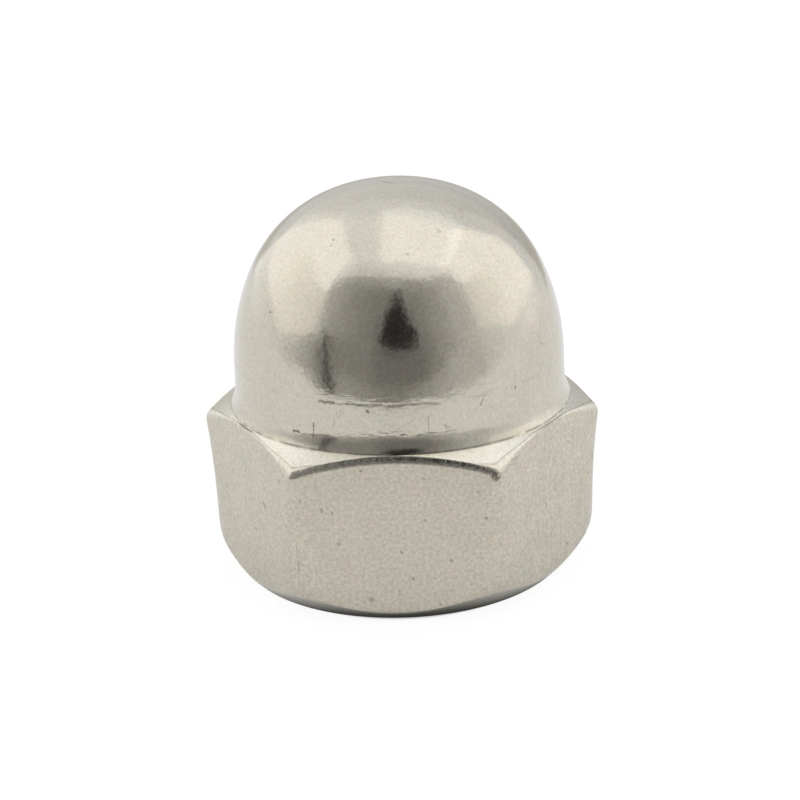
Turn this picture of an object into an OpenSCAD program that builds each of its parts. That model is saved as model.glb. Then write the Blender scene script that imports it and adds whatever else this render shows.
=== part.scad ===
// Domed cap nut in one solid piece: a hexagon, a short neck and a hollow dome over a blind hole for a bolt.
// Millimetres. The origin is on the axis at the middle of the seat, the dome points to +Z and one flat
// of the hexagon faces -Y.

/* [Hexagon] */
// width across two opposite flats
across_flats = 13; // [12.8:0.05:13.2]
// height at which the top chamfer reaches the neck
hex_height = 6.5; // [6:0.1:7]
// slope of the top chamfer, in degrees from level
top_chamfer_angle = 25; // [20:1:30]
// diameter across the corners just under the top chamfer
corner_top_d = 14.92; // [14.8:0.02:14.96]
// diameter across the corners just over the seat chamfer, where they are more rounded
corner_foot_d = 14.4; // [14:0.05:14.7]
// slope of the seat chamfer, in degrees from level
seat_chamfer_angle = 45; // [30:1:50]
// diameter of the flat seat
seat_d = 12.2; // [11.6:0.1:12.4]

/* [Neck] */
// diameter where the neck leaves the hexagon
neck_foot_d = 12.78; // [12.7:0.01:12.8]
// diameter at the top of the flare
flare_d = 12.58; // [12.5:0.01:12.7]
// height of the flare over the hexagon
flare_height = 0.6; // [0.3:0.05:0.9]
// diameter at the crease under the dome
crease_d = 12.46; // [12.2:0.01:12.5]
// height of the crease over the hexagon
neck_height = 1.9; // [1.2:0.05:2.4]

/* [Dome] */
// tilt of the dome's side at the crease, in degrees from upright
side_tilt = 2.3; // [0:0.1:4]
// radius of the long arc up the side
side_r = 8.9; // [8:0.1:10]
// tilt at which the side arc ends
shoulder_tilt = 21.6; // [18:0.2:24]
// radius of the arc over the shoulder
shoulder_r = 5.35; // [5:0.05:5.6]
// tilt at which the shoulder arc ends and the crown begins
crown_tilt = 65.4; // [60:0.2:70]

/* [Threaded hole] */
// diameter at the crests of the thread
crest_d = 6.65; // [6.6:0.01:6.9]
// diameter of the countersink at the seat
countersink_d = 8.5; // [8:0.05:8.8]
// angle across the countersink
countersink_angle = 90; // [80:5:120]
// depth at which the thread ends
thread_end = 8.4; // [7:0.1:9]
// diameter of the relief past the thread
relief_d = 8.3; // [8.1:0.05:8.5]
// depth at which the relief ends
relief_end = 10.8; // [9.5:0.1:11]
// angle across the drill point
drill_angle = 118; // [90:1:140]

/* [View] */
// what to draw

/* [Hidden] */
$fn = 96;
steel = [0.72, 0.70, 0.66];
lap = 0.5;
// the shoulder arc stands this much proud of its neighbours, so that the three arcs cross and join
join = 0.01;

across_corners = across_flats / cos(30);
corner_foot_z = (corner_foot_d - seat_d) / 2 * tan(seat_chamfer_angle);
corner_top_z = hex_height - (corner_top_d - neck_foot_d) / 2 * tan(top_chamfer_angle);

flare_z = hex_height + flare_height;
crease_z = hex_height + neck_height;

// each arc of the dome starts where the one before it ends, with the same tilt
side_x = crease_d / 2 - side_r * cos(side_tilt);
side_z = crease_z - side_r * sin(side_tilt);
shoulder_from_x = side_x + side_r * cos(shoulder_tilt);
shoulder_from_z = side_z + side_r * sin(shoulder_tilt);
shoulder_x = shoulder_from_x - shoulder_r * cos(shoulder_tilt);
shoulder_z = shoulder_from_z - shoulder_r * sin(shoulder_tilt);
crown_from_x = shoulder_x + shoulder_r * cos(crown_tilt);
crown_from_z = shoulder_z + shoulder_r * sin(crown_tilt);
crown_r = crown_from_x / cos(crown_tilt);
crown_z = crown_from_z - crown_r * sin(crown_tilt);
height = crown_z + crown_r;

countersink_depth = (countersink_d - crest_d) / 2 / tan(countersink_angle / 2);
drill_depth = crest_d / 2 / tan(drill_angle / 2);

// the part of a disc that lies between two heights, on the outer side of the axis
module arc_band(x, z, r, from_z, to_z) {
    intersection() {
        translate([x, z])
            circle(r = r);
        polygon([[0, from_z], [across_flats, from_z], [across_flats, to_z], [0, to_z]]);
    }
}

// hexagonal bar with its ends turned to cones and its corners eased towards the seat
module hexagon() {
    intersection() {
        cylinder(h = hex_height, d = across_corners, $fn = 6);
        rotate_extrude()
            polygon([
                [0, 0], [seat_d / 2, 0], [corner_foot_d / 2, corner_foot_z],
                [corner_top_d / 2, corner_top_z], [neck_foot_d / 2, hex_height], [0, hex_height]
            ]);
    }
}

module neck_and_dome() {
    rotate_extrude() {
        polygon([
            [0, hex_height - lap], [neck_foot_d / 2 - lap, hex_height - lap], [neck_foot_d / 2 - lap, hex_height],
            [neck_foot_d / 2, hex_height], [flare_d / 2, flare_z], [crease_d / 2, crease_z], [0, crease_z]
        ]);
        arc_band(side_x, side_z, side_r, crease_z - lap, shoulder_from_z);
        arc_band(shoulder_x, shoulder_z, shoulder_r + join, crease_z - lap, height + lap);
        arc_band(0, crown_z, crown_r, crown_from_z, height + lap);
    }
}

// the space cut away inside: countersink, plain thread hole, relief and drill point
module hole() {
    rotate_extrude()
        polygon([
            [0, -lap], [countersink_d / 2 + lap * tan(countersink_angle / 2), -lap],
            [crest_d / 2, countersink_depth], [crest_d / 2, thread_end],
            [relief_d / 2, thread_end], [relief_d / 2, relief_end], [crest_d / 2, relief_end],
            [0, relief_end + drill_depth]
        ]);
}

module cap_nut() {
    color(steel)
        difference() {
            union() {
                hexagon();
                neck_and_dome();
            }
            hole();
        }
}

cap_nut();
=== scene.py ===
import math

import bpy
from mathutils import Matrix, Vector


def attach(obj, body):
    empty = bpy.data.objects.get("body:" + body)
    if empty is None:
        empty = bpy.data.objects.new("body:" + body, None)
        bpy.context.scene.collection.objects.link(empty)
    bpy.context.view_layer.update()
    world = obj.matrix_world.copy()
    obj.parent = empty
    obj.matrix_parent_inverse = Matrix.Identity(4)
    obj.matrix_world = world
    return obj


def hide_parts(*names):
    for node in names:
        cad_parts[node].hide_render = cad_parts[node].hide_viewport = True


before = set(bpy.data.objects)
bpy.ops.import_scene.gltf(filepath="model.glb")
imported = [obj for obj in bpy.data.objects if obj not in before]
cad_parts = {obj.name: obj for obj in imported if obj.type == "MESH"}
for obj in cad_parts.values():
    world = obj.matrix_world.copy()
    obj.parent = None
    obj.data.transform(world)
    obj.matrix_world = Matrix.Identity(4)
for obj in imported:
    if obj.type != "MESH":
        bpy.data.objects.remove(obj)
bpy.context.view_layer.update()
print("frame loaded")

mm = 0.001
degree = math.pi / 180
fullTurn = 360 * degree
quarterTurn = 90 * degree


class Field:  # a node socket that can be used in plain arithmetic
    def __init__(self, tree, socket):
        self.tree, self.socket = tree, socket

    def __add__(self, other): return maths(self.tree, "ADD", self, other)
    def __radd__(self, other): return maths(self.tree, "ADD", other, self)
    def __sub__(self, other): return maths(self.tree, "SUBTRACT", self, other)
    def __rsub__(self, other): return maths(self.tree, "SUBTRACT", other, self)
    def __mul__(self, other): return maths(self.tree, "MULTIPLY", self, other)
    def __rmul__(self, other): return maths(self.tree, "MULTIPLY", other, self)
    def __truediv__(self, other): return maths(self.tree, "DIVIDE", self, other)
    def __rtruediv__(self, other): return maths(self.tree, "DIVIDE", other, self)
    def __pow__(self, other): return maths(self.tree, "POWER", self, other)
    def __neg__(self): return maths(self.tree, "MULTIPLY", self, -1.0)
    def sin(self): return maths(self.tree, "SINE", self)
    def cos(self): return maths(self.tree, "COSINE", self)
    def tan(self): return maths(self.tree, "TANGENT", self)
    def arctan(self): return maths(self.tree, "ARCTANGENT", self)
    def sqrt(self): return maths(self.tree, "SQRT", self)
    def abs(self): return maths(self.tree, "ABSOLUTE", self)
    def sign(self): return maths(self.tree, "SIGN", self)
    def round(self): return maths(self.tree, "ROUND", self)
    def fraction(self): return maths(self.tree, "FRACT", self)
    def atMost(self, other): return maths(self.tree, "MINIMUM", self, other)
    def atLeast(self, other): return maths(self.tree, "MAXIMUM", self, other)
    def isBelow(self, other): return maths(self.tree, "LESS_THAN", self, other)


def maths(tree, operation, *values):
    node = tree.nodes.new("ShaderNodeMath")
    node.operation = operation
    for socket, value in zip(node.inputs, values):
        plug(tree, value, socket)
    return Field(tree, node.outputs[0])


def plug(tree, value, socket):
    if isinstance(value, Field):
        value = value.socket
    if isinstance(value, bpy.types.NodeSocket):
        tree.links.new(value, socket)
    else:
        socket.default_value = value


def addNode(tree, kind, inputs=None, **settings):
    node = tree.nodes.new(kind)
    for name, value in settings.items():
        setattr(node, name, value)
    for key, value in (inputs or {}).items():
        plug(tree, value, node.inputs[key])
    return node


def partOf(tree, place, axis):
    return Field(tree, addNode(tree, "ShaderNodeSeparateXYZ", {0: place}).outputs[axis])


def addPiece(name, data):
    piece = bpy.data.objects.new(name, data)
    bpy.context.scene.collection.objects.link(piece)
    return piece


def newMaterial(name):
    material = bpy.data.materials.new(name)
    material.use_nodes = True
    material.node_tree.nodes.clear()
    return material, material.node_tree


def between(a, b, share):
    return a + (b - a) * share


def eased(share):  # slow at both ends
    return share * share * (3 - share * 2)


# the nut's own sizes: lengths in millimetres, angles in degrees
nutSizes = {
    "lengths": {
        "Across Flats": 13.0,
        "Hex Height": 6.5,  # at the foot of the neck in front
        "Seat Radius": 6.14,
        "Seat Aside": 0.07,  # the lower chamfer was turned a little off the axis
        "Seat Edge": 0.12,
        "Rim Edge": 0.22,  # where the lower chamfer meets the flats
        "Top Edge": 0.15,  # rolled edge along a flat
        "Corner Top Edge": 0.5,
        "Front Facet": 0.85,  # the front flat's edge is beaten almost flat here and turned over above
        "Front Lip": 0.05,
        "Shade Line Width": 0.07,  # painted shade: dark line in the crease where the rolled edge meets the chamfer
        "Shade Line Ledge": 0.35,  # ledge at which that painted shade line has become faint
        "Least Ledge": 0.01,  # of the top chamfer, at the middle of a flat
        "Corner Radius Top": 0.2,
        "Corner Radius Foot": 1.85,
        "Corner Radius Rim": 3.75,  # at the very foot, where the corners are worn away
        "Neck Foot Radius": 6.39,  # in front and at the back
        "Neck Foot Spread": 0.12,  # the flare runs out wider towards the sides, a little more to the right
        "Neck Foot Aside": 0.04,
        "Neck Foot Limit": 6.477,
        "Flare Height": 0.74,
        "Flare Top Radius": 6.233,
        "Crease Radius": 6.214,
        "Crease Height": 8.39,
        "Side Arc": 8.45,
        "Shoulder Arc": 5.32,
        "Countersink Radius": 4.25,
        "Thread Minor Radius": 3.3235,
        "Thread Major Radius": 4.0,
        "Thread Pitch": 1.25,
        "Thread End": 8.4,
        "Relief Radius": 4.15,
        "Relief End": 10.8,
    },
    "angles": {
        "Top Chamfer": 28.5,
        "Facet From": 10.0,
        "Facet To": 27.0,
        "Neck Tilt": 1.0,
        "Side Tilt": 2.3,
        "Shoulder Tilt": 24.56,
        "Crown Tilt": 70.46,
        "Drill Point": 118.0,
    },
    "numbers": {
        "Corner Share": 5 / 14,  # of the columns, in the rounding of a corner
        "Column Ease": 1.8,  # crowds a flat's columns towards its corners
        "Corner Fade": 2.4,  # how the corner's rounding grows downwards
        "Edge Swell": 12.0,  # how fast the rolled edge thins out away from a corner
        "Left Facet End": 36.0,  # how bluntly the front facet ends at the corners
        "Right Facet End": 66.0,
        "Least Shade Line": 0.35,  # tone of the painted shade line where the ledge is wide
        "Ledge Ease": 2.0,
        "Rim Fade": 18.0,  # how fast the worn foot of a corner goes over into it
        "Flare Ease": 2.0,
    },
    "columns": 168,  # a multiple of 12
    "rows": {  # of faces in each band, and in a pitch of the thread
        "drillPoint": 8, "reliefRoof": 2, "reliefWall": 4, "reliefFloor": 2, "seat": 3, "seatEdge": 3,
        "lowerChamfer": 3, "rimEdge": 4, "flats": 18, "topEdge": 12, "topChamfer": 12, "flare": 8,
        "neck": 8, "side": 16, "shoulder": 20, "crown": 14, "thread": 16,
    },
}
weldDistance = 1e-7
sharpAngle = 28 * degree
zones = {"bore": 0, "flats": 1, "chamfer": 2, "dome": 3}
socketKinds = {"lengths": "DISTANCE", "angles": "ANGLE", "numbers": "NONE"}
units = {"lengths": mm, "angles": degree, "numbers": 1}

# what the bands' formulas rest on
gridSize = 1.0
flatsCount = 6
halfFlat = fullTurn / flatsCount / 2
frontTurn = 0.75  # of a turn, at the middle of the front flat
seatSlope = 45 * degree  # of the lower chamfer, so there a step out is a step up
steepestLean = 44 * degree  # of the wall at a worn corner, just under that
threadCrest, threadFlank = 4 / 16, 5 / 16  # of the pitch


def nutInputs(tree):
    kinds = {name: kind for sizes, kind in socketKinds.items() for name in nutSizes[sizes]}
    for name, kind in kinds.items():
        socket = tree.interface.new_socket(name=name, in_out="INPUT", socket_type="NodeSocketFloat")
        socket.subtype = kind
    given = tree.nodes.new("NodeGroupInput")
    return {name: Field(tree, given.outputs[name]) for name in kinds}


class NutBands:  # grids bent round the axis, one to a band of the surface, and the fields that they share
    def __init__(self, tree):
        self.tree, self.made, self.size = tree, [], nutInputs(tree)
        size = self.size
        position = addNode(tree, "GeometryNodeInputPosition").outputs[0]
        self.turn = partOf(tree, position, "X") + gridSize / 2  # 0 to 1 once round the axis
        self.along = partOf(tree, position, "Y") + gridSize / 2  # 0 to 1 across a band
        self.arch = (self.along * math.pi).sin()  # 0 at a band's ends, 1 half-way
        self.angle = self.turn * fullTurn
        self.sector = (self.turn * flatsCount).round()
        self.offset = self.turn * flatsCount - self.sector
        self.share = self.offset.abs() * 2  # 0 at a corner, 1 at the middle of a flat
        leftToRight = self.angle.cos()
        self.seat = size["Seat Radius"] - size["Seat Aside"] * leftToRight
        self.neckFoot = (size["Neck Foot Radius"] + leftToRight * leftToRight * size["Neck Foot Spread"]
                         + leftToRight * size["Neck Foot Aside"]).atMost(size["Neck Foot Limit"])

    def add(self, name, zone, radius, angle, height, worn=0.0, line=0.0, turns=1):
        grid = addNode(self.tree, "GeometryNodeMeshGrid", {
            "Size X": gridSize, "Size Y": gridSize, "Vertices X": nutSizes["columns"] + 1,
            "Vertices Y": nutSizes["rows"][name] * turns + 1})
        geometry = grid.outputs["Mesh"]
        for mark, value in (("edgeWear", worn), ("edgeShadeLine", line)):
            stored = addNode(self.tree, "GeometryNodeStoreNamedAttribute", {
                "Geometry": geometry, "Name": mark, "Value": value}, domain="POINT")
            geometry = stored.outputs[0]
        zoned = addNode(self.tree, "GeometryNodeStoreNamedAttribute", {
            "Geometry": geometry, "Name": "zone", "Value": zones[zone]}, domain="FACE", data_type="INT")
        spot = addNode(self.tree, "ShaderNodeCombineXYZ", {
            "X": radius * angle.cos(), "Y": radius * angle.sin(), "Z": height})
        placed = addNode(self.tree, "GeometryNodeSetPosition", {
            "Geometry": zoned.outputs[0], "Position": spot.outputs[0]})
        self.made.append(placed.outputs[0])

    def hexOutline(self, cornerRadius):  # radius and angle on a hexagon with rounded corners
        size, share, flat = self.size, self.share, self.size["Across Flats"] / 2
        inCorner = share.isBelow(size["Corner Share"])
        pastCorner = ((share - size["Corner Share"]) / (1 - size["Corner Share"])).atLeast(0.0)
        centre = (flat - cornerRadius) / math.cos(halfFlat)
        touch = maths(self.tree, "ARCTAN2", cornerRadius * math.sin(halfFlat),
                      centre + cornerRadius * math.cos(halfFlat))
        onSide = touch + (halfFlat - touch) * pastCorner ** size["Column Ease"]
        swing = between(onSide, touch * share / size["Corner Share"], inCorner)
        arc = centre * swing.cos() + (cornerRadius ** 2 - (centre * swing.sin()) ** 2).atLeast(0.0).sqrt()
        side = flat / (halfFlat - swing).cos()
        return between(side, arc, inCorner), self.sector * (halfFlat * 2) + self.offset.sign() * swing

    def chamferHeight(self, radius):
        size = self.size
        return size["Hex Height"] - (radius - size["Neck Foot Radius"]) * size["Top Chamfer"].tan()

    def threadRadius(self, height):
        size = self.size
        phase = (height / size["Thread Pitch"] - self.turn).fraction()
        rise = ((phase - threadCrest).atMost(1 - phase) / threadFlank).atLeast(0.0).atMost(1.0)
        cut = between(size["Thread Minor Radius"], size["Thread Major Radius"], rise)
        return cut.atLeast(size["Countersink Radius"] - height)


def drawHole(bands):  # from the drill's point down to the seat
    size, along, angle = bands.size, bands.along, bands.angle
    minor, relief = size["Thread Minor Radius"], size["Relief Radius"]
    reliefEnd, threadEnd = size["Relief End"], size["Thread End"]
    steep = (size["Drill Point"] / 2).tan()
    threadTop = bands.threadRadius(threadEnd)
    bands.add("drillPoint", "bore", minor * along, angle, reliefEnd + minor * (1 - along) / steep)
    bands.add("reliefRoof", "bore", between(minor, relief, along), angle, reliefEnd)
    bands.add("reliefWall", "bore", relief, angle, between(reliefEnd, threadEnd, along))
    bands.add("reliefFloor", "bore", between(relief, threadTop, along), angle, threadEnd)
    turns = math.ceil(nutSizes["lengths"]["Thread End"] / nutSizes["lengths"]["Thread Pitch"]) + 1
    helix = (turns - along * turns - 1 + bands.turn) * size["Thread Pitch"]
    level = helix.atLeast(0.0).atMost(threadEnd)
    bands.add("thread", "bore", bands.threadRadius(level), angle, level, turns=turns)


def drawSeat(bands):
    size, along, angle, edge = bands.size, bands.along, bands.angle, bands.size["Seat Edge"]
    seatEnd = bands.seat - edge * math.tan(seatSlope / 2)
    bands.add("seat", "chamfer", between(size["Countersink Radius"], seatEnd, along), angle, 0.0)
    bend = (along - 2) * seatSlope
    bands.add("seatEdge", "chamfer", seatEnd + edge * bend.cos(), angle, edge + edge * bend.sin(),
              worn=bands.arch)


def drawHexagon(bands):  # outwards and up, from the seat to the foot of the neck
    size, along, seat = bands.size, bands.along, bands.seat

    # the rolled top edge bends from kick to knee and on to topTilt, where the chamfer begins
    topRadius, topAngle = bands.hexOutline(size["Corner Radius Top"])
    fromCorner = ((topAngle - bands.sector * (halfFlat * 2)).abs() / halfFlat).atMost(1.0)
    nearCorner = 1 - fromCorner * fromCorner
    facetEnd = between(size["Left Facet End"], size["Right Facet End"], bands.offset.isBelow(0.0))
    onFront = (bands.turn - frontTurn).abs().isBelow(0.5 / flatsCount) * (1 - nearCorner ** facetEnd)
    rolled = between(size["Top Edge"], size["Corner Top Edge"], nearCorner ** size["Edge Swell"])
    facet, lip = between(rolled, size["Front Facet"], onFront), between(rolled, size["Front Lip"], onFront)
    kick, knee, topTilt = size["Facet From"] * onFront, size["Facet To"], quarterTurn - size["Top Chamfer"]

    def edgeAt(facetTilt, lipTilt):  # how far in and how far up the edge has come
        return (facet * (kick.cos() - facetTilt.cos()) + lip * (knee.cos() - lipTilt.cos()),
                facet * (facetTilt.sin() - kick.sin()) + lip * (lipTilt.sin() - knee.sin()))

    reach, rise = edgeAt(knee, topTilt)
    ledge = topRadius - bands.neckFoot - size["Least Ledge"]
    fit = (ledge / reach).atMost(1.0)  # the edge shrinks where the ledge is narrower than it
    ledgeRadius = topRadius - reach * fit
    wallTop = bands.chamferHeight(ledgeRadius) - rise * fit
    shadeLineTone = (1 - ledge / size["Shade Line Ledge"]).atLeast(size["Least Shade Line"])  # painted shade, darkest close to the neck

    # the wall starts at a slant at a worn corner and upright on a flat
    footRadius, footAngle = bands.hexOutline(size["Corner Radius Rim"])
    wornAway = size["Corner Radius Rim"] - size["Corner Radius Foot"]
    aroundCorner = (bands.share / size["Corner Share"]).atMost(1.0) * halfFlat
    slant = (aroundCorner.cos() / math.cos(halfFlat) - 1) * size["Rim Fade"]
    lean = (slant * wornAway / (wallTop - footRadius + seat)).arctan().atMost(steepestLean)
    rim = size["Rim Edge"]
    tangent = rim * ((seatSlope - lean) / 2).tan()
    rimCorner = footRadius - tangent * lean.sin()
    wallFoot = rimCorner - seat + tangent * lean.cos()

    slopeStart = seat + size["Seat Edge"] * math.tan(seatSlope / 2) * math.cos(seatSlope)
    slope = between(slopeStart, rimCorner - tangent * math.cos(seatSlope), along)
    bands.add("lowerChamfer", "chamfer", slope, between(bands.angle, footAngle, along), slope - seat)
    bend = between(-seatSlope, -lean, along)
    bands.add("rimEdge", "flats", footRadius + rim * (bend.cos() - lean.cos()), footAngle,
              wallFoot + rim * (bend.sin() + lean.sin()), worn=bands.arch)
    rising = eased(along)
    fade = between(size["Corner Radius Foot"], size["Corner Radius Top"], rising ** size["Corner Fade"])
    wallRadius, wallAngle = bands.hexOutline(fade + wornAway * (1 - rising) ** size["Rim Fade"])
    bands.add("flats", "flats", wallRadius, wallAngle, between(wallFoot, wallTop, rising))

    facetTilt = between(kick, knee, (along * 2).atMost(1.0))
    lipTilt = between(knee, topTilt, (along * 2 - 1).atLeast(0.0))
    inset, lift = edgeAt(facetTilt, lipTilt)
    leftToGo = (facet * (knee - facetTilt) + lip * (topTilt - lipTilt)) * fit
    # painted shade line along both sides of the crease between the rolled edge and the chamfer
    bands.add("topEdge", "flats", topRadius - inset * fit, topAngle, wallTop + lift * fit, worn=bands.arch,
              line=shadeLineTone * (1 - leftToGo / size["Shade Line Width"]).atLeast(0.0))
    inwards = along ** size["Ledge Ease"]
    inward = between(ledgeRadius, bands.neckFoot, inwards)
    bands.add("topChamfer", "chamfer", inward, between(topAngle, bands.angle, inwards),
              bands.chamferHeight(inward),
              line=(1 - (ledgeRadius - inward) / size["Shade Line Width"]).atLeast(0.0) * shadeLineTone)


def drawNeckAndDome(bands):  # up to the pole
    size, along, angle, neckFoot = bands.size, bands.along, bands.angle, bands.neckFoot
    flareTop, lean = size["Flare Top Radius"], size["Flare Height"] * size["Neck Tilt"].tan()
    flareEnd = size["Hex Height"] + size["Flare Height"]
    flared = 1 - (1 - along) ** size["Flare Ease"]
    bands.add("flare", "dome", neckFoot - lean * along - (neckFoot - flareTop - lean) * flared, angle,
              between(bands.chamferHeight(neckFoot), flareEnd, along))
    creaseRadius, creaseHeight = size["Crease Radius"], size["Crease Height"]
    bands.add("neck", "dome", between(flareTop, creaseRadius, along), angle,
              between(flareEnd, creaseHeight, along))

    # each arc starts where the one before it ends, with the same tilt
    sideArc, shoulderArc = size["Side Arc"], size["Shoulder Arc"]
    sideTilt, shoulderTilt, crownTilt = size["Side Tilt"], size["Shoulder Tilt"], size["Crown Tilt"]
    sideR, sideZ = creaseRadius - sideArc * sideTilt.cos(), creaseHeight - sideArc * sideTilt.sin()
    shoulderR = sideR + (sideArc - shoulderArc) * shoulderTilt.cos()
    shoulderZ = sideZ + (sideArc - shoulderArc) * shoulderTilt.sin()
    crownArc = (shoulderR + shoulderArc * crownTilt.cos()) / crownTilt.cos()
    crownZ = shoulderZ + (shoulderArc - crownArc) * crownTilt.sin()
    for name, arc, centreR, centreZ, fromTilt, toTilt in (
            ("side", sideArc, sideR, sideZ, sideTilt, shoulderTilt),
            ("shoulder", shoulderArc, shoulderR, shoulderZ, shoulderTilt, crownTilt),
            ("crown", crownArc, 0.0, crownZ, crownTilt, quarterTurn)):
        tilt = between(fromTilt, toTilt, along)
        bands.add(name, "dome", centreR + arc * tilt.cos(), angle, centreZ + arc * tilt.sin())


def nutShape(finishes):
    tree = bpy.data.node_groups.new("capNutShape", "GeometryNodeTree")
    tree.is_modifier = True
    bands = NutBands(tree)
    tree.interface.new_socket(name="Nut", in_out="OUTPUT", socket_type="NodeSocketGeometry")
    drawHole(bands)
    drawSeat(bands)
    drawHexagon(bands)
    drawNeckAndDome(bands)
    joined = addNode(tree, "GeometryNodeJoinGeometry")
    for geometry in bands.made:
        tree.links.new(geometry, joined.inputs[0])
    welded = addNode(tree, "GeometryNodeMergeByDistance", {
        "Geometry": joined.outputs[0], "Distance": weldDistance})
    smoothFaces = addNode(tree, "GeometryNodeSetShadeSmooth", {
        "Geometry": welded.outputs[0], "Shade Smooth": True}, domain="FACE")
    edgeAngle = addNode(tree, "GeometryNodeInputMeshEdgeAngle")
    soft = Field(tree, edgeAngle.outputs["Unsigned Angle"]).isBelow(sharpAngle)
    smoothEdges = addNode(tree, "GeometryNodeSetShadeSmooth", {
        "Geometry": smoothFaces.outputs[0], "Shade Smooth": soft}, domain="EDGE")
    realized = addNode(tree, "GeometryNodeRealizeInstances", {"Geometry": smoothEdges.outputs[0]})
    geometry = realized.outputs[0]
    zoneRead = addNode(tree, "GeometryNodeInputNamedAttribute", {"Name": "zone"}, data_type="INT")
    for zone, index in zones.items():
        chosen = addNode(tree, "FunctionNodeCompare", {2: zoneRead.outputs[0], 3: index},
                         data_type="INT", operation="EQUAL")
        painted = addNode(tree, "GeometryNodeSetMaterial", {
            "Geometry": geometry, "Selection": chosen.outputs[0], "Material": finishes[zone]})
        geometry = painted.outputs[0]
    output = addNode(tree, "NodeGroupOutput")
    tree.links.new(geometry, output.inputs[0])
    return tree


def makeNut(finishes):
    mesh = bpy.data.meshes.new("capNut")
    nut = addPiece("capNut", mesh)
    modifier = nut.modifiers.new("capNutShape", "NODES")
    modifier.node_group = nutShape(finishes)
    values = {name: value * unit for sizes, unit in units.items()
              for name, value in nutSizes[sizes].items()}
    for item in modifier.node_group.interface.items_tree:
        if item.in_out == "INPUT":
            modifier[item.identifier] = values[item.name]
    graph = bpy.context.evaluated_depsgraph_get()
    plain = bpy.data.meshes.new_from_object(nut.evaluated_get(graph), depsgraph=graph)
    nut.modifiers.clear()
    nut.data = plain
    plain.name = "capNut"
    bpy.data.meshes.remove(mesh)
    return nut


number, vector, colour = "NodeSocketFloat", "NodeSocketVector", "NodeSocketColor"
noiseMiddle = 0.5


def newGroup(name, inputs, outputs):  # every group reads a place in millimetres
    group = bpy.data.node_groups.new(name, "ShaderNodeTree")
    inputs = {"Vector": vector, **inputs}
    for title, kind in inputs.items():
        group.interface.new_socket(name=title, in_out="INPUT", socket_type=kind)
    for title, kind in outputs.items():
        group.interface.new_socket(name=title, in_out="OUTPUT", socket_type=kind)
    given = group.nodes.new("NodeGroupInput")
    result = group.nodes.new("NodeGroupOutput")
    return group, {title: Field(group, given.outputs[title]) for title in inputs}, result


def noiseAt(tree, place, size, detail=2.0, roughness=0.5):
    return Field(tree, addNode(tree, "ShaderNodeTexNoise", {
        "Vector": place, "Scale": 1 / size, "Detail": detail, "Roughness": roughness}).outputs[0])


def vectorMaths(tree, operation, first, second, output="Vector"):
    node = addNode(tree, "ShaderNodeVectorMath", {0: first, 1: second}, operation=operation)
    return Field(tree, node.outputs[output])


def stretched(tree, place, stretch):
    return addNode(tree, "ShaderNodeMapping", {"Vector": place, "Scale": stretch}).outputs[0]


def bellAt(tree, off):  # 1 at the middle, fading to both sides
    return maths(tree, "EXPONENT", -(off * off))


def mixedColour(tree, share, first, second, blend="MIX"):  # inputs 6 and 7 take colours
    return addNode(tree, "ShaderNodeMix", {0: share, 6: first, 7: second},
                   data_type="RGBA", blend_type=blend).outputs[2]


def tumbledGrain():  # fine mottling left by tumbling, with a coarser cloud over it
    group, given, result = newGroup(
        "tumbledGrain", {"Grain Size": number, "Cloud Size": number}, {"Grain": number, "Cloud": number})
    grain = noiseAt(group, given["Vector"], given["Grain Size"], roughness=0.6)
    cloud = noiseAt(group, given["Vector"], given["Cloud Size"], detail=3.0, roughness=0.55)
    plug(group, grain, result.inputs["Grain"])
    plug(group, cloud, result.inputs["Cloud"])
    return group


def finePits():  # sparse round pits of uneven size
    group, given, result = newGroup(
        "finePits", {"Spacing": number, "Pit Size": number, "Share": number}, {"Pit": number})
    smallestPit = 0.4  # share of the pit size; the largest has 1 more
    cells = addNode(group, "ShaderNodeTexVoronoi", {
        "Vector": given["Vector"], "Scale": 1 / given["Spacing"], "Randomness": 1.0})
    chance = addNode(group, "ShaderNodeSeparateColor", {0: cells.outputs["Color"]})
    reach = given["Pit Size"] / given["Spacing"] * (smallestPit + Field(group, chance.outputs["Green"]))
    near = 1 - Field(group, cells.outputs["Distance"]) / reach
    kept = Field(group, chance.outputs["Red"]).isBelow(given["Share"])
    plug(group, near.atLeast(0.0) * kept, result.inputs["Pit"])
    return group


def smallNick():  # one scratch or dent between two points, with a frayed outline
    group, given, result = newGroup(
        "smallNick", {"Start": vector, "End": vector, "Width": number, "Fray": number}, {"Nick": number})
    frayGain, frayLoss, leastReach = 5, 1.3, 0.2  # how the grain widens and narrows the mark
    edgeGain = 1.8  # over 1, so that the mark has a flat bottom
    fromStart = vectorMaths(group, "SUBTRACT", given["Vector"], given["Start"])
    run = vectorMaths(group, "SUBTRACT", given["End"], given["Start"])
    share = (vectorMaths(group, "DOT_PRODUCT", fromStart, run, "Value")
             / vectorMaths(group, "DOT_PRODUCT", run, run, "Value")).atLeast(0.0).atMost(1.0)
    nearest = addNode(group, "ShaderNodeVectorMath", {0: run, "Scale": share}, operation="SCALE")
    away = vectorMaths(group, "DISTANCE", fromStart, nearest.outputs[0], "Value")
    reach = given["Width"] * (given["Fray"] * frayGain - frayLoss).atLeast(leastReach)
    plug(group, ((1 - away / reach) * edgeGain).atLeast(0.0).atMost(1.0), result.inputs["Nick"])
    return group


def toolRing():  # a broken groove round the axis
    group, given, result = newGroup(
        "toolRing", {"Height": number, "Width": number, "Waver": number, "Gap": number}, {"Ring": number})
    swaySize, breakSize, breakGain = 0.5, 0.7, 6  # sizes in millimetres
    sway = noiseAt(group, given["Vector"], swaySize, roughness=0.6) - noiseMiddle
    breaks = noiseAt(group, given["Vector"], breakSize, roughness=0.6)
    off = (partOf(group, given["Vector"], "Z") - given["Height"] - sway * given["Waver"]) / given["Width"]
    shown = ((breaks - given["Gap"]) * breakGain).atLeast(0.0).atMost(1.0)
    plug(group, bellAt(group, off) * shown, result.inputs["Ring"])
    return group


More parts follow.
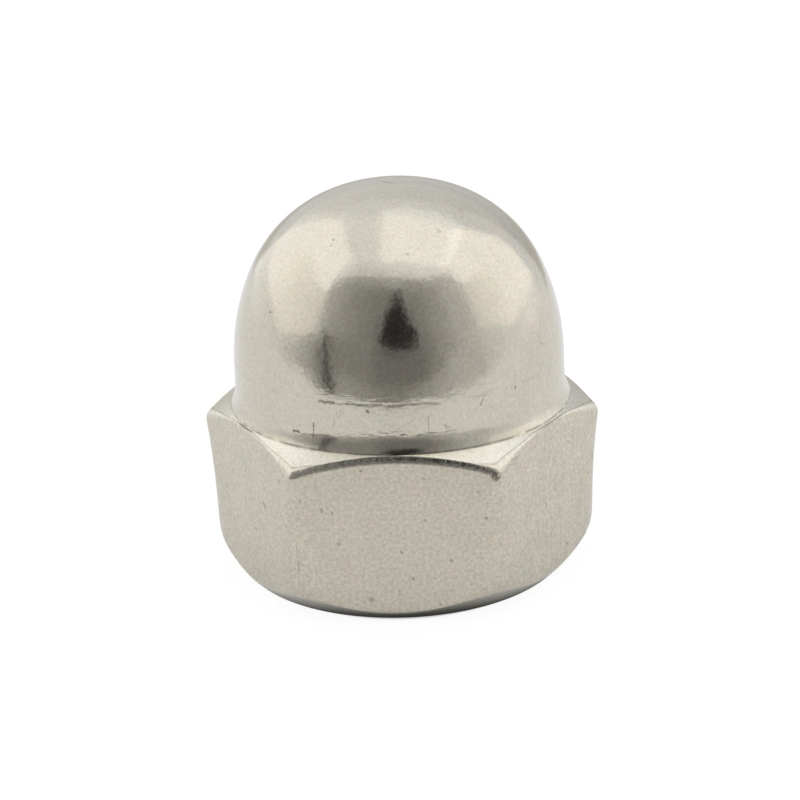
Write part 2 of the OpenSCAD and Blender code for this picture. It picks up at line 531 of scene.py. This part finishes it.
def turningLines():  # short level marks in a belt round the axis
    group, given, result = newGroup(
        "turningLines", {"Height": number, "Spread": number, "Length": number, "Thickness": number},
        {"Lines": number})
    mark = addNode(group, "ShaderNodeCombineXYZ", {
        "X": given["Length"], "Y": given["Length"], "Z": given["Thickness"]})
    place = vectorMaths(group, "DIVIDE", given["Vector"], mark.outputs[0])
    lines = noiseAt(group, place, 1.0, roughness=0.55) - noiseMiddle
    off = (partOf(group, given["Vector"], "Z") - given["Height"]) / given["Spread"]
    plug(group, lines * bellAt(group, off), result.inputs["Lines"])
    return group


def uprightStreaks():  # faint lines along the axis, on one side of the nut
    group, given, result = newGroup(
        "uprightStreaks", {"Side Start": number, "Side End": number}, {"Streak": number})
    linesPerMm = (6.5, 6.5, 0.9)
    place = stretched(group, given["Vector"], linesPerMm)
    lines = noiseAt(group, place, 1.0, detail=1.0) - noiseMiddle
    side = addNode(group, "ShaderNodeMapRange", {
        "Value": partOf(group, given["Vector"], "X"),
        "From Min": given["Side Start"], "From Max": given["Side End"]})
    plug(group, lines * Field(group, side.outputs[0]), result.inputs["Streak"])
    return group


def handledTint():  # faint warm and cool blotches on the steel
    group, given, result = newGroup("handledTint", {"Size": number, "Amount": number}, {"Tint": colour})
    contrast, warm, cool, plain = 3, (1.035, 0.985, 0.975, 1), (0.97, 1.01, 0.995, 1), (1, 1, 1, 1)
    blotch = noiseAt(group, given["Vector"], given["Size"], detail=4.0, roughness=0.65)
    wide = ((blotch - noiseMiddle) * contrast + noiseMiddle).atLeast(0.0).atMost(1.0)
    hue = mixedColour(group, wide, warm, cool)
    plug(group, mixedColour(group, given["Amount"], plain, hue), result.inputs["Tint"])
    return group


def metalFinish(name, look, groups):
    material, tree = newMaterial(name)
    coordinates = addNode(tree, "ShaderNodeTexCoord")
    place = stretched(tree, coordinates.outputs["Object"], (1 / mm, 1 / mm, 1 / mm))

    def marks(title, inputs, output):
        node = addNode(tree, "ShaderNodeGroup", node_tree=groups[title])
        for socket, value in {"Vector": place, **inputs}.items():
            plug(tree, value, node.inputs[socket])
        return Field(tree, node.outputs[output])

    grain = marks("tumbledGrain", {
        "Grain Size": look["grainSize"], "Cloud Size": look["cloudSize"]}, "Grain")
    cloud = Field(tree, grain.socket.node.outputs["Cloud"])
    pit = marks("finePits", {
        "Spacing": look["pitSpacing"], "Pit Size": look["pitSize"], "Share": look["pitShare"]}, "Pit")
    streak = marks("uprightStreaks", {
        "Side Start": look["streakFrom"], "Side End": look["streakTo"]}, "Streak")
    tint = marks("handledTint", {"Size": look["tintSize"], "Amount": look["tintAmount"]}, "Tint")
    peel = noiseAt(tree, place, look["peelSize"], look["peelDetail"], look["peelRoughness"]) - noiseMiddle
    grainSwing, cloudSwing = grain - noiseMiddle, cloud - noiseMiddle
    wear = addNode(tree, "ShaderNodeAttribute", attribute_name="edgeWear")
    line = addNode(tree, "ShaderNodeAttribute", attribute_name="edgeShadeLine")
    worn = Field(tree, wear.outputs["Fac"]) * between(*look["wearSpread"], cloud)
    height = (grainSwing * look["grainDepth"] + peel * look["peelDepth"] + streak * look["streakDepth"]
              - pit * look["pitDepth"] + grainSwing * worn * look["wearDepth"])
    # pits and nicks are darker, and grooves and the crease line get painted shade, all mixed towards one
    # dark colour
    soilAndShade = pit * look["pitTone"]
    for start, end, width, nickTone in look["nicks"]:
        nick = marks("smallNick", {"Start": start, "End": end, "Width": width, "Fray": grain}, "Nick")
        height = height - nick * (look["nickDepth"] * nickTone)
        soilAndShade = soilAndShade.atLeast(nick * nickTone)
    # a ring is a groove; its tone darkens it, painted shade in the groove
    for ring in look["rings"]:
        groove = marks("toolRing", {
            "Height": ring["height"], "Width": ring["width"], "Waver": ring["waver"],
            "Gap": ring["gap"]}, "Ring")
        height = height - groove * ring["depth"]
        soilAndShade = soilAndShade.atLeast(groove * ring["tone"])
    for belt in look["belts"]:
        lines = marks("turningLines", {
            "Height": belt["height"], "Spread": belt["spread"], "Length": belt["length"],
            "Thickness": belt["thickness"]}, "Lines")
        height = height + lines * belt["depth"]
    lineGain, lineLoss = look["shadeLineBreak"]
    broken = (cloud * lineGain - lineLoss).atLeast(0.0)
    # painted shade: the dark line in the crease at the top edge, broken up by the cloud
    soilAndShade = soilAndShade.atLeast((Field(tree, line.outputs["Fac"]) * look["shadeLineTone"] * broken).atMost(1.0))

    tone = (cloudSwing * look["cloudTone"] + grainSwing * look["grainTone"] + streak * look["streakTone"]
            + noiseMiddle)
    steel = mixedColour(tree, tone, look["deep"], look["light"])
    tinted = mixedColour(tree, 1.0, steel, tint, blend="MULTIPLY")
    brighter = mixedColour(tree, worn * look["wearTone"], tinted, look["bright"])
    marked = mixedColour(tree, soilAndShade, brighter, look["soilAndShadeColour"])
    rough = (look["roughness"] + grainSwing * look["grainRough"] + cloudSwing * look["cloudRough"]
             + soilAndShade * look["soilAndShadeRough"] - worn * look["wearSmooth"])
    bump = addNode(tree, "ShaderNodeBump", {"Height": height, "Distance": mm, "Strength": 1.0})
    shader = addNode(tree, "ShaderNodeBsdfPrincipled", {
        "Metallic": 1.0, "Base Color": marked, "Roughness": rough, "Normal": bump.outputs[0]})
    addNode(tree, "ShaderNodeOutputMaterial", {"Surface": shader.outputs[0]})
    return material


# single marks: start and end in millimetres, width, and tone from 0 to 1
domeNicks = (
    ((-3.61, -5.1, 7.03), (-3.42, -5.24, 7.03), 0.042, 0.85),
    ((-2.84, -5.54, 7.46), (-2.87, -5.57, 6.93), 0.028, 0.75),
    ((-0.84, -6.16, 8.14), (-0.8, -6.17, 8.1), 0.05, 0.55),
    ((1.29, -6.09, 7.85), (1.31, -6.09, 7.28), 0.016, 0.4),
    ((1.9, -5.93, 7.46), (1.94, -5.92, 7.34), 0.05, 0.32),
    ((1.99, -5.9, 7.37), (2.05, -5.88, 7.36), 0.04, 0.25),
    ((3.24, -5.31, 8.16), (3.16, -5.35, 8.0), 0.04, 0.4),
    ((3.31, -5.25, 8.34), (3.24, -5.31, 8.27), 0.03, 0.25),
    ((4.39, -4.4, 8.29), (4.4, -4.39, 8.25), 0.045, 0.6),
    ((-2.07, -5.87, 7.75), (-2.08, -5.87, 7.47), 0.016, 0.35),
    ((-1.8, -5.95, 8.12), (-1.89, -5.93, 7.8), 0.016, 0.3),
    ((-1.95, -5.9, 8.02), (-1.99, -5.89, 7.84), 0.014, 0.3),
    ((-1.7, -5.98, 8.16), (-1.74, -5.97, 7.98), 0.014, 0.25),
    ((1.76, -3.04, 13.81), (1.81, -3.09, 13.77), 0.075, 0.28),
    ((0.66, -4.14, 13.29), (0.7, -4.15, 13.27), 0.05, 0.3),
    ((-2.01, -3.22, 13.62), (-1.98, -3.25, 13.6), 0.035, 0.45),
    ((-2.08, -3.42, 13.45), (-2.06, -3.44, 13.44), 0.035, 0.4),
    ((-4.39, -3.59, 11.05), (-4.37, -3.62, 11.04), 0.045, 0.6),
    ((4.45, -1.02, 12.91), (4.5, -1.02, 12.86), 0.055, 0.35),
    ((-3.77, -4.64, 10.05), (-3.74, -4.68, 9.98), 0.04, 0.35),
    ((-0.35, 0.2, 14.77), (-0.01, -0.07, 14.78), 0.035, 0.6),
    ((5.35, -2.94, 9.43), (5.39, -2.89, 9.37), 0.04, 0.4),
    ((3.86, -2.93, 12.58), (3.9, -2.93, 12.54), 0.04, 0.25),
    ((-2.61, -5.64, 8.35), (-2.05, -5.87, 8.37), 0.05, 0.55),
    ((-1.62, -6.0, 8.37), (-1.02, -6.13, 8.36), 0.036, 0.45),
    ((-0.7, -6.18, 8.39), (-0.32, -6.21, 8.37), 0.03, 0.3),
    ((0.05, -6.21, 8.37), (0.6, -6.19, 8.36), 0.028, 0.3),
    ((-3.29, -5.34, 6.97), (-2.27, -5.85, 7.11), 0.04, 0.5),
)
flatsNicks = (
    ((-4.2, -5.73, 5.36), (-4.16, -5.79, 5.26), 0.042, 0.6),
    ((-6.67, -1.44, 3.47), (-6.65, -1.48, 3.36), 0.03, 0.4),
    ((-4.95, -4.43, 3.92), (-4.9, -4.52, 3.82), 0.07, 0.45),
    ((-2.64, -6.5, 4.53), (-2.62, -6.5, 4.43), 0.042, 0.4),
    ((-2.27, -6.5, 4.38), (-2.25, -6.5, 4.34), 0.04, 0.35),
    ((-2.08, -6.5, 3.17), (-2.04, -6.5, 3.13), 0.048, 0.4),
    ((-5.4, -3.65, 2.6), (-5.34, -3.75, 2.61), 0.042, 0.4),
    ((-3.58, -6.29, 2.4), (-3.59, -6.26, 1.9), 0.018, 0.55),
    ((-3.64, -6.29, 3.05), (-3.62, -6.29, 2.8), 0.018, 0.3),
    ((0.06, -6.5, 1.34), (0.07, -6.5, 1.1), 0.022, 0.4),
    ((-1.02, -6.5, 0.94), (-0.93, -6.5, 0.9), 0.075, 0.4),
    ((5.4, -3.64, 3.45), (5.45, -3.56, 3.2), 0.022, 0.5),
    ((3.26, -6.49, 4.07), (3.29, -6.48, 4.04), 0.05, 0.45),
    ((6.17, -2.3, 1.21), (6.22, -2.21, 1.12), 0.05, 0.4),
    ((0.17, -6.5, 2.8), (0.2, -6.5, 2.77), 0.045, 0.45),
    ((4.22, -5.67, 5.95), (4.46, -5.27, 5.92), 0.026, 0.35),
    ((4.06, -5.94, 5.85), (4.28, -5.58, 5.78), 0.022, 0.3),
    ((1.07, -6.5, 4.04), (1.1, -6.5, 4.01), 0.038, 0.4),
    ((1.96, -6.5, 2.45), (1.99, -6.5, 2.42), 0.045, 0.45),
    ((-1.17, -6.5, 6.0), (-1.12, -6.5, 5.98), 0.036, 0.4),
    ((1.51, -6.5, 0.71), (1.54, -6.5, 0.68), 0.048, 0.4),
    ((-5.72, -3.09, 4.71), (-5.69, -3.15, 4.69), 0.036, 0.35),
    ((-3.38, -6.5, 4.9), (-3.37, -6.5, 4.8), 0.028, 0.35),
    ((0.56, -6.5, 1.76), (0.6, -6.5, 1.72), 0.042, 0.45),
    ((3.0, -6.5, 5.09), (3.03, -6.5, 5.06), 0.036, 0.35),
    ((4.02, 5.9, 3.6), (4.2, 5.75, 3.2), 0.04, 0.45),
    ((-5.6, 3.3, 2.2), (-5.75, 3.0, 2.05), 0.05, 0.45),
    ((-1.4, 6.5, 4.4), (-1.35, 6.5, 3.9), 0.025, 0.5),
    ((3.62, -6.48, 5.69), (3.71, -6.45, 5.63), 0.15, 0.75),
)
chamferNicks = (
    ((-3.63, -6.02, 6.21), (-3.61, -6.05, 6.2), 0.045, 0.6),
    ((-3.44, -5.82, 6.33), (-3.42, -5.85, 6.32), 0.028, 0.25),
    ((2.79, -6.27, 6.27), (2.81, -6.28, 6.26), 0.028, 0.25),
    ((3.32, -5.97, 6.29), (3.34, -5.99, 6.28), 0.028, 0.25),
)

# the steel's finishes: sizes and depths in millimetres
footCreaseShade = {  # faint groove where the neck meets the hexagon, darkened with painted shade
    "height": 6.515, "width": 0.035, "waver": 0.02, "gap": 0.34, "depth": 0.003, "tone": 0.6}
domeLook = {
    "deep": (0.54, 0.502, 0.412, 1), "light": (0.74, 0.69, 0.572, 1), "bright": (0.80, 0.765, 0.68, 1),
    # dark colour for pits and nicks, and for the painted shade of grooves and the crease line
    "soilAndShadeColour": (0.13, 0.11, 0.085, 1), "soilAndShadeRough": 0.25,
    "grainSize": 0.12, "grainTone": 1.3, "grainRough": 0.08, "grainDepth": 0.0022,
    "cloudSize": 1.3, "cloudTone": 0.35, "cloudRough": 0.05,
    "tintSize": 0.35, "tintAmount": 0.75,
    "peelSize": 0.8, "peelDetail": 2.5, "peelRoughness": 0.6, "peelDepth": 0.014,
    "streakFrom": 2.0, "streakTo": 5.0, "streakTone": 0.5, "streakDepth": 0.0015,
    "pitSpacing": 0.9, "pitSize": 0.05, "pitShare": 0.16, "pitTone": 0.5, "pitDepth": 0.006,
    "nicks": domeNicks, "nickDepth": 0.010,
    "rings": (
        {"height": 8.36, "width": 0.075, "waver": 0.20, "gap": 0.44, "depth": 0.005, "tone": 0.12},
        {"height": 7.25, "width": 0.05, "waver": 0.20, "gap": 0.46, "depth": 0.004, "tone": 0.06},
        footCreaseShade),
    "belts": (
        {"height": 8.55, "spread": 0.25, "length": 0.75, "thickness": 0.17, "depth": 0.009},
        {"height": 7.27, "spread": 0.10, "length": 0.28, "thickness": 0.14, "depth": 0.010}),
    "roughness": 0.16,
    "wearSpread": (0.5, 1.2), "wearTone": 0.0, "wearSmooth": 0.0, "wearDepth": 0.0,
    "shadeLineBreak": (2, 0.3), "shadeLineTone": 0.0,  # how the cloud breaks up the painted shade line at an edge
}
flatsLook = dict(
    domeLook, deep=(0.50, 0.462, 0.374, 1), light=(0.80, 0.74, 0.603, 1), grainSize=0.13, grainTone=1.7,
    grainDepth=0.003, roughness=0.3, peelDepth=0.006, pitShare=0.25, pitTone=0.55, tintSize=0.7,
    tintAmount=0.6, nicks=flatsNicks, rings=(), belts=(), streakFrom=3.0, streakTo=4.5, streakTone=0.4,
    wearTone=0.35, wearSmooth=0.14, wearDepth=0.02, shadeLineTone=1.7)
chamferLook = dict(
    domeLook, deep=(0.58, 0.545, 0.455, 1), light=(0.85, 0.81, 0.695, 1), grainTone=1.2, roughness=0.22,
    nicks=chamferNicks, rings=(footCreaseShade,), belts=(), peelSize=0.3, peelDepth=0.004, wearTone=0.2,
    wearSmooth=0.04, shadeLineTone=1.9)
boreLook = dict(domeLook, roughness=0.32, nicks=(), rings=(), belts=(), streakTone=0.0)


def makeFinishes():
    groups = {group.name: group for group in (
        tumbledGrain(), finePits(), smallNick(), toolRing(), turningLines(), uprightStreaks(),
        handledTint())}
    return {
        "dome": metalFinish("turnedDome", domeLook, groups),
        "flats": metalFinish("tumbledFlats", flatsLook, groups),
        "chamfer": metalFinish("turnedChamfer", chamferLook, groups),
        "bore": metalFinish("cutBore", boreLook, groups),
    }


# the view: distances in millimetres, angles in degrees
view = {"distance": 94.15, "elevation": 20.44, "azimuth": 3.295, "roll": -2.246, "height": 6.223,
        "aside": -0.028, "lens": 111.4, "sensor": 36.0, "near": 1.0}


def makeCamera():
    azimuth, elevation, roll = (view[key] * degree for key in ("azimuth", "elevation", "roll"))
    back = Vector((math.sin(azimuth) * math.cos(elevation), -math.cos(azimuth) * math.cos(elevation),
                   math.sin(elevation)))
    right = Vector((math.cos(azimuth), math.sin(azimuth), 0))
    up = back.cross(right)
    across = right * math.cos(roll) + up * math.sin(roll)
    upward = up * math.cos(roll) - right * math.sin(roll)
    data = bpy.data.cameras.new("viewCamera")
    data.lens, data.sensor_width, data.clip_start = view["lens"], view["sensor"], view["near"] * mm
    camera = addPiece("viewCamera", data)
    place = (Vector((0, 0, view["height"])) + back * view["distance"] + right * view["aside"]) * mm
    camera.matrix_world = Matrix((
        (across.x, upward.x, back.x, place.x), (across.y, upward.y, back.y, place.y),
        (across.z, upward.z, back.z, place.z), (0, 0, 0, 1)))
    bpy.context.scene.camera = camera


# the studio: bearings and heights in degrees as seen from the nut, 0 in front and positive to the right
plainTint, roomTint = (1, 1, 1, 1), (0.985, 1.0, 1.04, 1)
coldTint, coolTint, warmTint = (0.97, 1.0, 1.09, 1), (0.98, 1.0, 1.06, 1), (1.02, 1.0, 0.96, 1)
inFront, rightHand, behind = 0, 90, 180  # bearings
studio = {"turn": 3.3, "centre": 9.0, "skyTone": 1.0}
softboxes = {  # distance, from/to across and up in millimetres, tone of the cloth
    "leftSoftbox": {
        "facing": -90, "distance": 300, "sides": (-150, 480), "levels": (22, 650), "tone": 0.27},
    "rightSoftbox": {
        "facing": 90, "distance": 300, "sides": (-150, 250), "levels": (42, 540), "tone": 0.25},
}
topLamp = {"height": 350, "width": 270, "depth": 360, "aside": 92, "back": 60, "tone": 0.26}
boards = {  # distance, tones at the left and right ends, outlines in degrees: bearing, elevation
    "leftBoard": {"distance": 180, "tones": (0.62, 0.27),
                  "outline": ((-63, -22), (-20, -22), (-20, 58), (-35, 58), (-45, 56), (-55, 50),
                              (-63, 46))},
    "frontBoard": {"distance": 180, "tones": (0.27, 0.31),
                   "outline": ((-20, -22), (22, -22), (22, 54), (0, 57), (-20, 58))},
    "rightBoard": {"distance": 180, "tones": (0.36, 0.46),
                   "outline": ((22, -22), (40, -22), (40, 50), (35, 51), (22, 54))},
    "rightEnd": {"distance": 180, "tones": (0.54, 0.72),
                 "outline": ((40, -22), (62, -22), (62, 47), (55, 50), (45, 52), (40, 52))},
    "upperBoard": {"distance": 175, "tones": (0.44, 0.42),
                   "outline": ((-50, 47), (-30, 48), (0, 47), (38, 42), (38, 50.5), (22, 54), (0, 57),
                               (-20, 58), (-35, 58), (-45, 56))},
    "highBoard": {"distance": 185, "tones": (0.87, 0.87),
                  "outline": ((-72, 52), (-62, 46), (-20, 50), (22, 50), (27, 58), (22, 62), (0, 63),
                              (-15, 67), (-50, 67), (-72, 63))},
    "lowLeftBoard": {"distance": 170, "tones": (0.33, 0.28),
                     "outline": ((-62, -22), (-18, -22), (-18, 14), (-50, 14), (-60, 9))},
    "lowBoard": {"distance": 170, "tones": (0.215, 0.215),
                 "outline": ((-18, -22), (16, -22), (16, 12), (-18, 12))},
    "lowRightBoard": {"distance": 170, "tones": (0.21, 0.44),
                      "outline": ((16, -22), (34, -22), (34, 8), (26, 17), (16, 18))},
    "lowRightEnd": {"distance": 170, "tones": (0.60, 0.62),
                    "outline": ((34, -22), (62, -22), (62, 2), (34, 5))},
    "footLeft": {"distance": 165, "tones": (0.45, 0.27),
                 "outline": ((-44, -22), (-5, -22), (-5, -8), (-20, -6), (-28, -4), (-44, -2))},
    "footRight": {"distance": 165, "tones": (0.26, 0.58),
                  "outline": ((-5, -22), (38, -22), (38, 1), (24, -1), (15, -6), (-5, -8))},
    "cameraStand": {"distance": 160, "tones": (0.02, 0.02),
                    "outline": ((-13.5, 14), (-7, 11), (6, 11), (13, 14), (14, 18), (9, 26), (5, 36),
                                (2, 47), (-2, 47), (-5, 36), (-11, 26), (-15, 18))},
    "standLeg": {"distance": 160, "tones": (0.02, 0.02),
                 "outline": ((-49.5, -22), (-42.5, -22), (-46, -4), (-51.5, 14), (-56, 17), (-51.5, -4))},
    "backBoard": {"facing": 167.5, "distance": 260, "tones": (0.84, 0.94), "tint": coldTint,
                  "outline": ((130, -20), (205, -20), (205, 56), (130, 56))},
    "backMiddle": {"facing": 167.5, "distance": 257, "tones": (0.70, 0.88), "tint": coolTint,
                   "outline": ((142, 16), (205, 16), (205, 38), (150, 38))},
    "backLow": {"facing": 167.5, "distance": 255, "tones": (0.58, 0.84), "tint": coolTint,
                "outline": ((142, 2), (212, 2), (212, 16), (142, 16))},
    "backFoot": {"facing": 167.5, "distance": 75, "tones": (0.54, 0.60), "tint": warmTint,
                 "outline": ((142, -6.8), (210, -6.8), (210, 5), (142, 5))},
    "leftVeil": {"facing": -90, "distance": 290, "tones": (1.24, 0.88), "tint": plainTint,
                 "outline": ((-115, 4), (-61, 4), (-61, 34), (-75, 38), (-115, 42))},
    "rightVeil": {"facing": 90, "distance": 290, "tones": (0.86, 1.22), "tint": plainTint,
                  "outline": ((60, 8), (95, 8), (95, 40), (60, 38))},
    "leftSkirt": {"facing": -90, "distance": 200, "tones": (1.20, 0.84),
                  "outline": ((-150, -3), (-88, -3), (-88, 5), (-115, 11), (-150, 12))},
    "leftSkirtEnd": {"facing": -90, "distance": 200, "tones": (0.78, 0.38),
                     "outline": ((-88, -3), (-60, -6), (-60, 13), (-75, 7), (-88, 5))},
    "rightSkirt": {"facing": 90, "distance": 200, "tones": (0.70, 1.12),
                   "outline": ((60, -6), (115, -3), (115, 3), (85, 7), (60, 12))},
}


def towards(bearing):
    angle = (bearing + studio["turn"]) * degree
    return Vector((math.sin(angle), -math.cos(angle), 0))


def boardFinish(name, tint, tones, across, ends):  # one tone going over into another along the board
    material, tree = newMaterial(name)
    spot = addNode(tree, "ShaderNodeTexCoord")
    reach = vectorMaths(tree, "DOT_PRODUCT", spot.outputs["Object"], across, "Value")
    tone = addNode(tree, "ShaderNodeMapRange", {
        "Value": reach, "From Min": ends[0], "From Max": ends[1], "To Min": tones[0], "To Max": tones[1]})
    glow = addNode(tree, "ShaderNodeEmission", {"Color": tint, "Strength": tone.outputs[0]})
    addNode(tree, "ShaderNodeOutputMaterial", {"Surface": glow.outputs[0]})
    return material


def makeBoard(name, board):
    facing, reach = board.get("facing", inFront), board["distance"] * mm
    ahead, aside = towards(facing), towards(facing + rightHand)
    corners, reaches = [], []
    for bearing, elevation in board["outline"]:
        swing = (bearing - facing) * degree
        reaches.append(reach * math.tan(swing))
        level = studio["centre"] * mm + reach * math.tan(elevation * degree) / math.cos(swing)
        corners.append(ahead * reach + aside * reach * math.tan(swing) + Vector((0, 0, level)))
    mesh = bpy.data.meshes.new(name)
    mesh.from_pydata(corners, [], [tuple(range(len(corners)))])
    ends = (min(reaches), max(reaches))
    mesh.materials.append(boardFinish(name, board.get("tint", roomTint), board["tones"], aside, ends))
    piece = addPiece(name, mesh)
    piece.visible_camera = False


def makeSoftbox(name, place, aim, width, height, tone):
    lamp = bpy.data.lights.new(name, "AREA")
    lamp.shape = "RECTANGLE"
    lamp.size, lamp.size_y = width, height
    lamp.energy = math.pi * width * height * tone  # watts that make the cloth glow at that tone
    light = addPiece(name, lamp)
    light.location = place
    light.rotation_euler = aim.to_track_quat("-Z", "Y").to_euler()
    light.visible_camera = False


def makeLights():
    for name, box in softboxes.items():
        (front, back), (low, high) = box["sides"], box["levels"]
        middle = towards(box["facing"]) * box["distance"] + towards(behind) * ((front + back) / 2)
        middle.z = (low + high) / 2
        makeSoftbox(name, middle * mm, -towards(box["facing"]), (back - front) * mm, (high - low) * mm,
                    box["tone"])
    above = towards(rightHand) * topLamp["aside"] + towards(behind) * topLamp["back"]
    above.z = topLamp["height"]
    makeSoftbox("topLamp", above * mm, Vector((0, 0, -1)),
                topLamp["width"] * mm, topLamp["depth"] * mm, topLamp["tone"])
    for name, board in boards.items():
        makeBoard(name, board)
    world = bpy.data.worlds.new("paleRoom")
    bpy.context.scene.world = world
    world.use_nodes = True
    sky = world.node_tree.nodes["Background"]
    sky.inputs["Color"].default_value = roomTint
    sky.inputs["Strength"].default_value = studio["skyTone"]


# the table: millimetres, and tones from 0 to 1
table = {
    "front": 32.5, "back": 500, "side": 255,
    "colour": 0.8,  # in the light that it gives back to the nut
    "shade": 0.12,  # what the camera and the steel see of that light, added to the glow
    "white": 0.92,
    "sideReach": 1.09,  # the painted shade is narrower towards the sides, where more light comes in
    "glowFrom": 5.95, "glowFull": 6.3,  # no glow under the nut, so it is darker there, a painted shade over its real shade
    "mirrorShadeDim": 0.86,  # painted shade: the glow is dimmer as the steel mirrors it
    "paintedMirrorShade": ((6.1, 0.0), (6.35, 0.09), (6.6, 0.34), (7.0, 0.715), (7.4, 0.785), (9.0, 0.84),
                   (10.5, 0.893), (15.0, 0.92), (20.0, 0.95), (27.0, 1.0)),  # painted shadow round the nut, as the steel mirrors the table: distance from the axis, glow
}


def grey(tone):
    return (tone, tone, tone, 1)


def tableFinish():
    material, tree = newMaterial("paleTable")
    path = addNode(tree, "ShaderNodeLightPath")
    camera, mirror, clear = (
        Field(tree, path.outputs[f"Is {ray} Ray"]) for ray in ("Camera", "Glossy", "Transmission"))
    seen = camera.atLeast(mirror).atLeast(clear)
    matt = addNode(tree, "ShaderNodeBsdfDiffuse", {"Color": grey(table["colour"])})
    shaded = addNode(tree, "ShaderNodeBsdfDiffuse", {"Color": grey(table["shade"])})
    spot = addNode(tree, "ShaderNodeTexCoord")
    wide = stretched(tree, spot.outputs["Object"], (table["sideReach"], 1, 1))
    length = addNode(tree, "ShaderNodeVectorMath", {0: wide}, operation="LENGTH")
    away = Field(tree, length.outputs["Value"])
    cameraGlow = addNode(tree, "ShaderNodeMapRange", {
        "Value": away, "From Min": table["glowFrom"] * mm, "From Max": table["glowFull"] * mm})
    fades, furthest = table["paintedMirrorShade"], table["paintedMirrorShade"][-1][0]
    mirrored = addNode(tree, "ShaderNodeValToRGB", {"Fac": away / (furthest * mm)})
    ramp = mirrored.color_ramp
    for radius, glow in fades[1:-1]:
        ramp.elements.new(radius / furthest)
    for element, (radius, glow) in zip(ramp.elements, fades):
        element.position, element.color = radius / furthest, grey(glow)
    # painted shadow round the nut and dimmer glow of the table, as the steel mirrors it
    mirrorGlowAndShade = Field(tree, mirrored.outputs["Color"]) * table["mirrorShadeDim"]
    white = addNode(tree, "ShaderNodeEmission", {
        "Color": mixedColour(tree, camera, roomTint, plainTint),
        "Strength": between(mirrorGlowAndShade, Field(tree, cameraGlow.outputs[0]), camera) * table["white"]})
    lit = addNode(tree, "ShaderNodeAddShader", {0: shaded.outputs[0], 1: white.outputs[0]})
    chosen = addNode(tree, "ShaderNodeMixShader", {0: seen, 1: matt.outputs[0], 2: lit.outputs[0]})
    addNode(tree, "ShaderNodeOutputMaterial", {"Surface": chosen.outputs[0]})
    return material


def makeTable():
    side, front, back = table["side"] * mm, table["front"] * mm, table["back"] * mm
    mesh = bpy.data.meshes.new("paleTable")
    mesh.from_pydata([(-side, -front, 0), (side, -front, 0), (side, back, 0), (-side, back, 0)], [],
                     [(0, 1, 2, 3)])
    mesh.materials.append(tableFinish())
    addPiece("paleTable", mesh)


makeCamera()
print("camera placed")
finishes = makeFinishes()
print("steel finishes made:", ", ".join(finishes))
nut = makeNut(finishes)
print("cap nut made:", len(nut.data.vertices), "vertices,", len(nut.data.polygons), "faces")
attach(nut, "root")
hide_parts("cap_nut")
makeTable()
print("table laid")
makeLights()
bpy.context.scene.view_settings.view_transform = "Standard"
print("studio lit")
